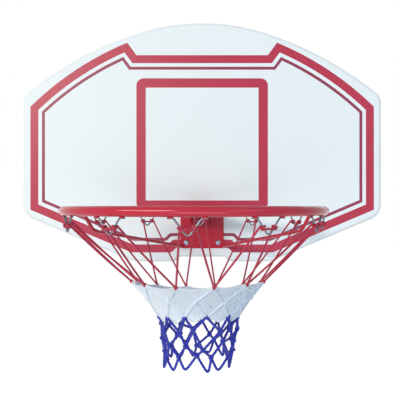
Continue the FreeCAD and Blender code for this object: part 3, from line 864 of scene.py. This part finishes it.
@dataclass
class Net:
    """The knotted net: hitches on the hooks, red hanging cords, white mesh and blue mesh."""

    ring: Ring
    red: Twine = Twine(3.8 * MM, 8.2 * MM, CORD_RED, 3)
    # The white band's thick cords wear the darker, bluer copy of the white twine: painted shade.
    white: Twine = Twine(5.2 * MM, 11.0 * MM, CORD_WHITE_PAINTED_SHADE, 5)
    netting: Twine = Twine(2.4 * MM, 4.0 * MM, CORD_WHITE, 6, sides=6, steps=3.0)
    blue: Twine = Twine(5.2 * MM, 11.0 * MM, CORD_BLUE, 8)
    red_row: Row = Row(121.0 * MM, 136.0 * MM, 17.0 * MM, 6.0 * MM, 0.5, 1.5 * MM)
    white_row: Row = Row(95.0 * MM, 163.0 * MM, 12.0 * MM, 2.0 * MM, 0.0, 2.5 * MM)
    blue_rows: tuple[Row, ...] = (
        Row(74.0 * MM, 190.0 * MM, 8.0 * MM, -3.0 * MM, 0.5, 3.0 * MM),
        Row(69.0 * MM, 212.0 * MM, 4.0 * MM, 0.0, 0.0, 6.0 * MM),
        Row(65.0 * MM, 234.0 * MM, 2.0 * MM, 0.0, 0.5, 7.0 * MM),
        Row(61.0 * MM, 256.0 * MM, 0.0, 0.0, 0.0, 7.0 * MM),
    )
    blue_tips: Row = Row(57.0 * MM, 280.0 * MM, 0.0, 0.0, 0.5, 6.0 * MM)
    strands: int = 3
    strand_reach: float = 0.92
    strand_bulge: float = 0.12
    lay: float = 3.6
    wraps: float = 1.5
    wrap_pitch: float = 1.05
    wrap_steps: int = 24
    knot_steps: int = 40
    knot_height: float = 1.7
    slack: float = 0.012
    slack_steps: int = 5
    sway: float = 5.0 * MM
    netting_cells: int = 12
    netting_overlap: float = 0.4
    hem_sag: float = 4.0 * MM
    tip_weight: float = 4.0
    tip_steps: int = 24
    # Levels between which the cords run from one body to the next.
    hanging_bend: tuple[float, float] = (-0.0615, -0.160)
    white_bend: tuple[float, float] = (-0.190, -0.216)
    seed: int = 21

    def __post_init__(self) -> None:
        """Place every knot once, so that the bands meet on the same knots."""
        chance = random.Random(self.seed)
        self.red_knots = self.row(self.red_row, chance)
        self.white_knots = self.row(self.white_row, chance)
        self.blue_knots = [self.row(row, chance) for row in self.blue_rows]
        self.blue_tops, self.blue_uppers = self.blue_knots[:2]
        self.tips = self.row(self.blue_tips, chance)

    def row(self, row: Row, chance: random.Random) -> list[Vector]:
        """Place the knots of one row.

        Args:
            row: Sizes of the row.
            chance: Source of the knots' stray from an even net.

        Returns:
            Knot centres, starting nearest the front hook.
        """
        places = []
        for k in range(self.ring.hooks):
            angle = self.ring.hook_angle(k + row.half_step)
            drop = row.drop - row.lean * math.cos(angle) + row.saddle * math.cos(2.0 * angle)
            stray = Vector([chance.uniform(-row.stray, row.stray) for _ in range(3)])
            places.append(self.ring.around(angle, row.radius, drop) + stray + Vector((self.sway, 0.0, 0.0)))
        return places

    def hang(self, first: Vector, last: Vector) -> list[Vector]:
        """Let a cord sag a little between two knots.

        Args:
            first: Place of the first knot.
            last: Place of the last knot.

        Returns:
            Places between the knots.
        """
        depth = (last - first).length * self.slack
        shares = [k / self.slack_steps for k in range(1, self.slack_steps)]
        return [sagging(first, last, share, depth) for share in shares]

    def leg(self, hook: int, side: int) -> tuple[Vector, Vector, Vector]:
        """Find the middle of one leg of a hook.

        Args:
            hook: Number of the hook.
            side: -1 for the left leg and 1 for the right one, seen from outside.

        Returns:
            The middle, the leg's direction downwards and the direction to the ring's axis.
        """
        ring = self.ring
        top_drop = (ring.rod + ring.hook_wire) / 2.0
        top = ring.hook_place(hook, side * ring.hook_half_width, 0.0, top_drop)
        apex = ring.hook_place(hook, 0.0, 0.0, ring.hook_drop)
        inward = ring.hook_place(hook, 0.0, -1.0, 0.0) - ring.hook_place(hook, 0.0, 0.0, 0.0)
        return (top + apex) / 2.0, (apex - top).normalized(), inward.normalized()

    def wrap(self, hook: int, side: int) -> list[Vector]:
        """Wind the cord round one leg of a hook.

        Args:
            hook: Number of the hook.
            side: -1 for the left leg and 1 for the right one.

        Returns:
            Places from the inner side, where the hanging cord leaves, to the outer side.
        """
        middle, down, inward = self.leg(hook, side)
        across = down.cross(inward) * side
        radius = (self.ring.hook_wire + self.red.cord) / 2.0
        length = self.wraps * self.red.cord * self.wrap_pitch
        steps = int(self.wrap_steps * self.wraps)
        places = []
        for k in range(steps + 1):
            turn = math.tau * self.wraps * k / steps
            spoke = inward * math.cos(turn) + across * math.sin(turn)
            places.append(middle + down * (k / steps - 0.5) * length + spoke * radius)
        return places

    def cord_pattern(self) -> Pattern:
        """Build the tree of twisted cords with a knot on each marked point.

        Returns:
            Pattern with cord, knot, lay, strands, sides, steps and seed as inputs.
        """
        kinds = {
            "Cord": Socket.LENGTH,
            "Knot": Socket.LENGTH,
            "Lay": Socket.LENGTH,
            "Steps": Socket.LENGTH,
            "Sides": Socket.COUNT,
            "Strands": Socket.COUNT,
            "Seed": Socket.COUNT,
        }
        net = Pattern("twisted_cord_net", kinds)
        size = net.inputs
        radius = net.add("ShaderNodeMath", {0: size["Cord"], 1: 0.5}, operation="MULTIPLY")
        lines = net.add("GeometryNodeMeshToCurve", {"Mesh": size["Geometry"]})
        step = net.add("ShaderNodeMath", {0: size["Lay"], 1: size["Steps"]}, operation="DIVIDE")
        cords = net.add("GeometryNodeResampleCurve", {"Curve": lines, "Length": step}, mode="LENGTH")
        # The knot is a trefoil that reaches 3 units from its middle:
        # x = sin t + 2 sin 2t, y = cos t - 2 cos 2t, z = -height sin 3t.
        hoop = net.add("GeometryNodeCurvePrimitiveCircle", {"Resolution": self.knot_steps, "Radius": 1.0})
        share = net.add("GeometryNodeSplineParameter").outputs["Factor"]
        turn = net.add("ShaderNodeMath", {0: share, 1: math.tau}, operation="MULTIPLY")
        turns = [net.add("ShaderNodeMath", {0: turn, 1: k}, operation="MULTIPLY") for k in (1.0, 2.0, 3.0)]
        sines = [net.add("ShaderNodeMath", {0: angle}, operation="SINE") for angle in turns]
        cosines = [net.add("ShaderNodeMath", {0: angle}, operation="COSINE") for angle in turns[:2]]
        x = net.add("ShaderNodeMath", {0: sines[1], 1: 2.0, 2: sines[0]}, operation="MULTIPLY_ADD")
        y = net.add("ShaderNodeMath", {0: cosines[1], 1: -2.0, 2: cosines[0]}, operation="MULTIPLY_ADD")
        z = net.add("ShaderNodeMath", {0: sines[2], 1: -self.knot_height}, operation="MULTIPLY")
        trefoil = net.add("ShaderNodeCombineXYZ", {0: x, 1: y, 2: z})
        knot_half = net.add("ShaderNodeMath", {0: size["Knot"], 1: 0.5}, operation="MULTIPLY")
        room = net.add("ShaderNodeMath", {0: knot_half, 1: radius}, operation="SUBTRACT")
        unit = net.add("ShaderNodeMath", {0: room, 1: 3.0}, operation="DIVIDE")
        scaled = net.add("ShaderNodeVectorMath", {0: trefoil, "Scale": unit}, operation="SCALE")
        knot = net.add("GeometryNodeSetPosition", {"Geometry": hoop.outputs["Curve"], "Position": scaled})
        marked = net.add("GeometryNodeInputNamedAttribute", {"Name": Lines.KNOT}, data_type="BOOLEAN")
        spin = net.add(
            "FunctionNodeRandomValue",
            {"Max": (math.tau, math.tau, math.tau), "Seed": size["Seed"]},
            data_type="FLOAT_VECTOR",
        )
        turned = net.add("FunctionNodeEulerToRotation", {0: spin})
        knots = net.add(
            "GeometryNodeInstanceOnPoints",
            {"Points": size["Geometry"], "Selection": marked, "Instance": knot, "Rotation": turned},
        )
        real_knots = net.add("GeometryNodeRealizeInstances", {"Geometry": knots})
        both = net.add("GeometryNodeJoinGeometry", {"Geometry": cords})
        net.tree.links.new(real_knots.outputs[0], both.inputs["Geometry"])
        where = net.add("GeometryNodeSplineParameter")
        marked_run = net.add(
            "GeometryNodeStoreNamedAttribute",
            {"Geometry": both, "Name": TwistedCord.RUN, "Value": where.outputs["Length"]},
            data_type="FLOAT",
        )
        lays = net.add("ShaderNodeMath", {0: where.outputs["Length"], 1: size["Lay"]}, operation="DIVIDE")
        twist = net.add("ShaderNodeMath", {0: lays, 1: math.tau}, operation="MULTIPLY")
        twisted = net.add("GeometryNodeSetCurveTilt", {"Curve": marked_run, "Tilt": twist})
        # Each strand shows as a lobe of the section.
        circle = net.add("GeometryNodeCurvePrimitiveCircle", {"Resolution": size["Sides"], "Radius": radius})
        side = net.add("GeometryNodeSplineParameter")
        lobe = net.add("ShaderNodeMath", {0: side.outputs["Factor"], 1: math.tau}, operation="MULTIPLY")
        lobes = net.add("ShaderNodeMath", {0: lobe, 1: size["Strands"]}, operation="MULTIPLY")
        bulge = net.add("ShaderNodeMath", {0: lobes}, operation="COSINE")
        swell = {0: bulge, 1: self.strand_bulge, 2: self.strand_reach}
        reach = net.add("ShaderNodeMath", swell, operation="MULTIPLY_ADD")
        spot = net.add("GeometryNodeInputPosition")
        pushed = net.add("ShaderNodeVectorMath", {0: spot, "Scale": reach}, operation="SCALE")
        lobed = {"Geometry": circle.outputs["Curve"], "Position": pushed}
        section = net.add("GeometryNodeSetPosition", lobed)
        marked_turn = net.add(
            "GeometryNodeStoreNamedAttribute",
            {"Geometry": section, "Name": TwistedCord.TURN, "Value": spot},
            data_type="FLOAT_VECTOR",
        )
        sweep = {"Curve": twisted, "Profile Curve": marked_turn, "Fill Caps": True}
        net.close(net.add("GeometryNodeCurveToMesh", sweep))
        return net

    def hitch_lines(self) -> Lines:
        """Lay the cord turns on the hooks and the bars between them.

        Returns:
            One line for each hook.
        """
        lines = Lines()
        for hook in range(self.ring.hooks):
            lines.path(self.wrap(hook, -1) + self.wrap(hook, 1)[::-1])
        return lines

    def red_lines(self) -> Lines:
        """Lay the hanging cords from the hooks to the red knots.

        Returns:
            Two lines from each knot, to the hooks beside it.
        """
        lines = Lines()
        for k, place in enumerate(self.red_knots):
            knot = lines.point(place, knot=True)
            for end in (self.wrap(k, 1)[0], self.wrap((k + 1) % self.ring.hooks, -1)[0]):
                lines.join(knot, self.hang(place, end), lines.point(end))
        return lines

    def white_lines(self) -> Lines:
        """Lay the white mesh from the red knots to the top of the blue mesh.

        Returns:
            Four lines from each white knot.
        """
        lines = Lines()
        upper = [lines.point(place) for place in self.red_knots]
        lower = [lines.point(place) for place in self.blue_tops]
        for k, place in enumerate(self.white_knots):
            knot = lines.point(place, knot=True)
            for row, numbers in ((self.red_knots, upper), (self.blue_tops, lower)):
                for j in (k - 1, k):
                    lines.join(knot, self.hang(place, row[j]), numbers[j])
        return lines

    def netting_lines(self) -> Lines:
        """Lay the close netting that fills the white band, with a hem between the red knots.

        Returns:
            Lines across each mesh of the band, side by side with its cords.
        """
        lines = Lines()
        count = self.ring.hooks
        cells = self.netting_cells
        shares = [k / cells for k in range(1, cells)]
        for k in range(count):
            after = (k + 1) % count
            white, blue = self.white_knots[k], self.blue_tops[k]
            self.lace(lines, self.red_knots[k], self.white_knots[after], blue, white, shares)
            low = self.blue_tops[k - 1].lerp(blue, 0.5).lerp(self.blue_uppers[k], self.netting_overlap)
            self.lace(lines, white, blue, low, self.blue_tops[k - 1], shares)
            first, last = self.red_knots[k - 1], self.red_knots[k]
            hem = [sagging(first, last, s, self.hem_sag) for s in shares]
            lines.path([first, *hem, last])
            for s, start in zip(shares, hem):
                for end in (white.lerp(last, s), first.lerp(white, s)):
                    lines.path([start, start.lerp(end, 0.5), end])
        return lines

    def lace(
        self, lines: Lines, top: Vector, right: Vector, low: Vector, left: Vector, shares: list[float]
    ) -> None:
        """Fill one four-sided mesh with lines along both of its sides.

        Args:
            lines: Lines to add to.
            top: Upper corner.
            right: Right corner.
            low: Lower corner.
            left: Left corner.
            shares: Places of the lines, as shares of a side.
        """
        for s in shares:
            for start, end in (
                (top.lerp(right, s), left.lerp(low, s)),
                (top.lerp(left, s), right.lerp(low, s)),
            ):
                lines.path([start, start.lerp(end, 0.5), end])

    def blue_lines(self) -> Lines:
        """Lay the blue mesh with its bottom loops.

        Returns:
            Lines between the rows of knots, and a loop between neighbours of the last row.
        """
        lines = Lines()
        places = self.blue_knots
        knots = [[lines.point(place, knot=True) for place in row] for row in places]
        count = self.ring.hooks
        for j in range(1, len(knots)):
            left = 0 if self.blue_rows[j - 1].half_step else -1
            for k in range(count):
                for i in (k + left, (k + left + 1) % count):
                    lines.join(knots[j - 1][k], self.hang(places[j - 1][k], places[j][i]), knots[j][i])
        for k, tip in enumerate(self.tips):
            after = (k + 1) % count
            lines.join(knots[-1][k], self.loop(places[-1][k], tip, places[-1][after]), knots[-1][after])
        return lines

    def loop(self, first: Vector, tip: Vector, last: Vector) -> list[Vector]:
        """Bend the cord round the tip of a bottom mesh, straight at the sides and tight at the tip.

        Args:
            first: Knot where the loop starts.
            tip: Lowest point of the loop.
            last: Knot where the loop ends.

        Returns:
            Places between the knots.
        """
        weight = self.tip_weight
        corner = tip + (tip - first.lerp(last, 0.5)) / weight
        places = []
        for k in range(1, self.tip_steps):
            s = k / self.tip_steps
            shares = ((1.0 - s) ** 2, 2.0 * weight * s * (1.0 - s), s**2)
            places.append((first * shares[0] + corner * shares[1] + last * shares[2]) / sum(shares))
        return places

    def build(self) -> None:
        """Tie the net and hang it on its bodies."""
        pattern = self.cord_pattern()
        bands = {
            "net_hitch_turns": (self.hitch_lines(), self.red),
            "net_hanging_cords": (self.red_lines(), self.red),
            "net_white_band": (self.white_lines(), self.white),
            "net_white_netting": (self.netting_lines(), self.netting),
            "net_blue_band": (self.blue_lines(), self.blue),
        }
        pieces = {}
        for name, (lines, twine) in bands.items():
            pieces[name] = pattern.grow(
                name,
                lines.mesh(f"{name}_paths"),
                cord=twine.cord,
                knot=twine.knot,
                lay=twine.cord * self.lay,
                steps=twine.steps,
                sides=twine.sides,
                strands=self.strands,
                seed=twine.seed,
                material=twine.finish.material(),
            )
        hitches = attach(pieces["net_hitch_turns"], Body.GOAL.value)
        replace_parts(hitches, "net_red_hitches")
        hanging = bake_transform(pieces["net_hanging_cords"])
        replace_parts(hanging, "net_red_cords")
        for name in ("net_white_band", "net_white_netting"):
            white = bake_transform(pieces[name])
        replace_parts(pieces["net_white_band"], "net_white_mesh")
        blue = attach(pieces["net_blue_band"], Body.NET_LOWER.value)
        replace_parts(blue, "net_blue_mesh")


@dataclass(frozen=True)
class Lamp:
    """A soft rectangular lamp."""

    name: str
    place: tuple[float, float, float]
    width: float
    height: float
    watts: float
    colour: str

    def build(self, target: Vector) -> None:
        """Hang the lamp and turn it to a point.

        Args:
            target: Point that the lamp faces.
        """
        light = bpy.data.lights.new(self.name, "AREA")
        light.shape = "RECTANGLE"
        light.size = self.width
        light.size_y = self.height
        light.energy = self.watts
        light.color = linear(self.colour)[:3]
        lamp = bpy.data.objects.new(self.name, light)
        lamp.location = self.place
        lamp.rotation_euler = (target - Vector(self.place)).to_track_quat("-Z", "Y").to_euler()
        bpy.context.scene.collection.objects.link(lamp)


@dataclass
class Studio:
    """Camera, lamps, white surroundings and a pale floor."""

    camera_place: tuple[float, float, float] = (0.046, -1.363, -0.0325)
    lens: float = 47.7
    sensor: float = 36.0
    shift: tuple[float, float] = (-0.0512, 0.0190)
    floor_drop: float = 0.9
    floor_half: float = 4.0
    floor_clear: float = 1.2
    floor_glow: float = 0.76
    floor_paper: str = "#D0D0D0"
    fill: str = "#8C98A5"
    white: str = "#FFFFFF"
    aim: tuple[float, float, float] = (0.0, -0.1, 0.1)
    lamps: tuple[Lamp, ...] = (
        Lamp("key_left", (-3.94, -5.67, 2.0), 5.4, 0.9, 295.0, "#FFF6EC"),
        Lamp("fill_low", (0.2, -2.2, -0.95), 1.4, 0.8, 12.0, "#E6F2FF"),
        Lamp("sky_right", (2.5, -3.0, 1.0), 2.0, 2.0, 20.0, "#B4DAFF"),
        Lamp("soft_back", (1.2, 4.5, 1.8), 3.0, 2.0, 95.0, "#FFFAF4"),
    )

    def camera(self) -> None:
        """Set the camera level in front of the board, at the photograph's viewing angle."""
        data = bpy.data.cameras.new("camera")
        data.lens = self.lens
        data.sensor_width = self.sensor
        data.shift_x, data.shift_y = self.shift
        camera = bpy.data.objects.new("camera", data)
        camera.location = self.camera_place
        camera.rotation_euler = (math.pi / 2.0, 0.0, 0.0)
        bpy.context.scene.collection.objects.link(camera)
        bpy.context.scene.camera = camera

    def seen(self, tree: bpy.types.NodeTree) -> bpy.types.Node:
        """Tell rays that show the surroundings from rays that light the object.

        Args:
            tree: Node tree that asks.

        Returns:
            Node that gives 1 for camera, glossy and transmission rays.
        """
        ray = add_node(tree, "ShaderNodeLightPath").outputs
        plain = {0: ray["Is Camera Ray"], 1: ray["Is Glossy Ray"]}
        shown = add_node(tree, "ShaderNodeMath", plain, operation="MAXIMUM")
        through = {0: shown, 1: ray["Is Transmission Ray"]}
        return add_node(tree, "ShaderNodeMath", through, operation="MAXIMUM")

    def surroundings(self) -> None:
        """Make the world white to look at and a cool soft light for the object."""
        world = bpy.data.worlds.new("white_surroundings")
        world.use_nodes = True
        tree = world.node_tree
        tree.nodes.clear()
        ends = {MIX_FACTOR: self.seen(tree), MIX_FIRST: linear(self.fill), MIX_SECOND: linear(self.white)}
        colour = add_node(tree, "ShaderNodeMix", ends, data_type="RGBA").outputs[MIX_RESULT]
        air = add_node(tree, "ShaderNodeBackground", {"Color": colour, "Strength": 1.0})
        add_node(tree, "ShaderNodeOutputWorld", {"Surface": air})
        bpy.context.scene.world = world

    def floor(self) -> None:
        """Lay the pale floor far under the net, fading to white at its edges."""
        level = CAD_BOX[0].z - self.floor_drop
        half = self.floor_half
        corners = [(-half, -half, level), (half, -half, level), (half, half, level), (-half, half, level)]
        mesh = bpy.data.meshes.new("studio_floor")
        mesh.from_pydata(corners, [], [(0, 1, 2, 3)])
        material = bpy.data.materials.new("white_paper_floor")
        material.use_nodes = True
        tree = material.node_tree
        tree.nodes.clear()
        paper = add_node(tree, "ShaderNodeBsdfDiffuse", {"Color": linear(self.floor_paper)})
        shown = {0: self.seen(tree), 1: self.floor_glow}
        glow_level = add_node(tree, "ShaderNodeMath", shown, operation="MULTIPLY")
        glow = add_node(tree, "ShaderNodeEmission", {"Strength": glow_level})
        both = add_node(tree, "ShaderNodeAddShader", {0: paper, 1: glow})
        place = add_node(tree, "ShaderNodeTexCoord").outputs["Object"]
        flat = add_node(tree, "ShaderNodeVectorMath", {0: place, 1: (1.0, 1.0, 0.0)}, operation="MULTIPLY")
        far = add_node(tree, "ShaderNodeVectorMath", {0: flat}, operation="LENGTH").outputs["Value"]
        reach = {"Value": far, "From Min": self.floor_clear, "From Max": half}
        fade = add_node(tree, "ShaderNodeMapRange", reach, interpolation_type="SMOOTHSTEP")
        share = add_node(tree, "ShaderNodeMath", {0: fade, 1: self.seen(tree)}, operation="MULTIPLY")
        white = add_node(tree, "ShaderNodeEmission", {"Strength": 1.0})
        faded = add_node(tree, "ShaderNodeMixShader", {0: share, 1: both, 2: white})
        add_node(tree, "ShaderNodeOutputMaterial", {"Surface": faded})
        mesh.materials.append(material)
        floor = bpy.data.objects.new("studio_floor", mesh)
        bpy.context.scene.collection.objects.link(floor)

    def build(self) -> None:
        """Set up the studio."""
        bpy.context.scene.view_settings.view_transform = "Standard"
        self.camera()
        self.surroundings()
        self.floor()
        for lamp in self.lamps:
            lamp.build(Vector(self.aim))
        LOG.info("studio ready")


def main() -> None:
    """Build the studio, then dress the board, ring and fasteners and hang the net."""
    logging.basicConfig(level=logging.INFO)
    Studio().build()
    Board().build()
    ring = Ring()
    ring.build()
    Fasteners().build()
    Net(ring).build()


if __name__ == "__main__":
    main()
